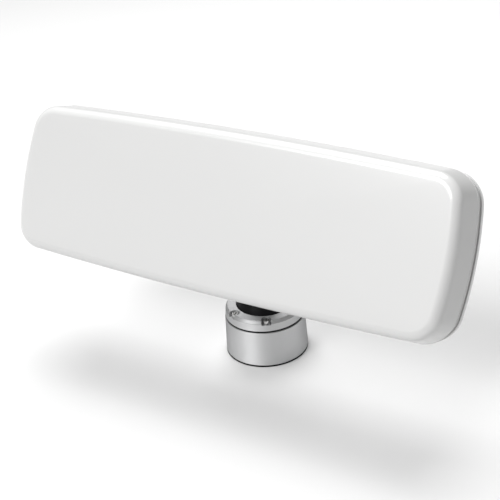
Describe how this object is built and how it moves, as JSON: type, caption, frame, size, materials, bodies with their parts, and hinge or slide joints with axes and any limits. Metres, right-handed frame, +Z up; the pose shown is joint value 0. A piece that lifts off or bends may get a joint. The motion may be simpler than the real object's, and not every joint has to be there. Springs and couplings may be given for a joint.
{
  "type": "marine instrument pod",
  "caption": "Wide blank-faced two-shell pod on an elbow arm that swivels and tilts in a round clamped ball base.",
  "frame": {"origin": "centre of the four deck bolt holes, on the underside of the deck gasket", "axes": "+Z up off the deck along the swivel axis, +X along the pod's long side, the blank face towards -Y"},
  "size_m": [0.6208, 0.1904, 0.3272],
  "materials": {
    "white_gloss": "gloss white UV-stable plastic",
    "aluminium_satin": "satin anodised",
    "aluminium_plate": "mill finish plate",
    "black_coated_aluminium": "black satin powder coat",
    "rubber_black": "matt",
    "stainless": "bright stainless",
    "acetal": "matt black acetal",
    "brass": "machined"
  },
  "bodies": {
    "base": {"deck_gasket": "rubber_black", "base_housing": "aluminium_satin", "ring_gasket": "rubber_black", "clamp_ring": "aluminium_satin", "clamp_screws": "stainless", "wiper_seal": "rubber_black", "thrust_washer": "acetal", "swivel_stop_pin": "stainless"},
    "swivel": {"swivel_race": "acetal", "trunnion_pins": "stainless"},
    "pod": {"ball": "black_coated_aluminium", "neck_seal": "rubber_black", "neck_lock_nut": "brass", "neck_arm": "black_coated_aluminium", "flange_gasket": "rubber_black", "rear_cover": "white_gloss", "backing_plate": "aluminium_plate", "flange_screws": "stainless", "cable_grommet": "rubber_black", "pod_seal": "rubber_black", "front_cover": "white_gloss", "cover_screws": "stainless", "screw_inserts": "brass"}
  },
  "joints": [
    {"name": "swivel_turn", "type": "hinge", "parent": "base", "child": "swivel", "pos_m": [0, 0, 0.0554], "axis": [0, 0, 1], "range_deg": [-170, 170]},
    {"name": "pod_tilt", "type": "hinge", "parent": "swivel", "child": "pod", "pos_m": [0, 0, 0.0554], "axis": [1, 0, 0], "range_deg": [-30, 30]}
  ]
}
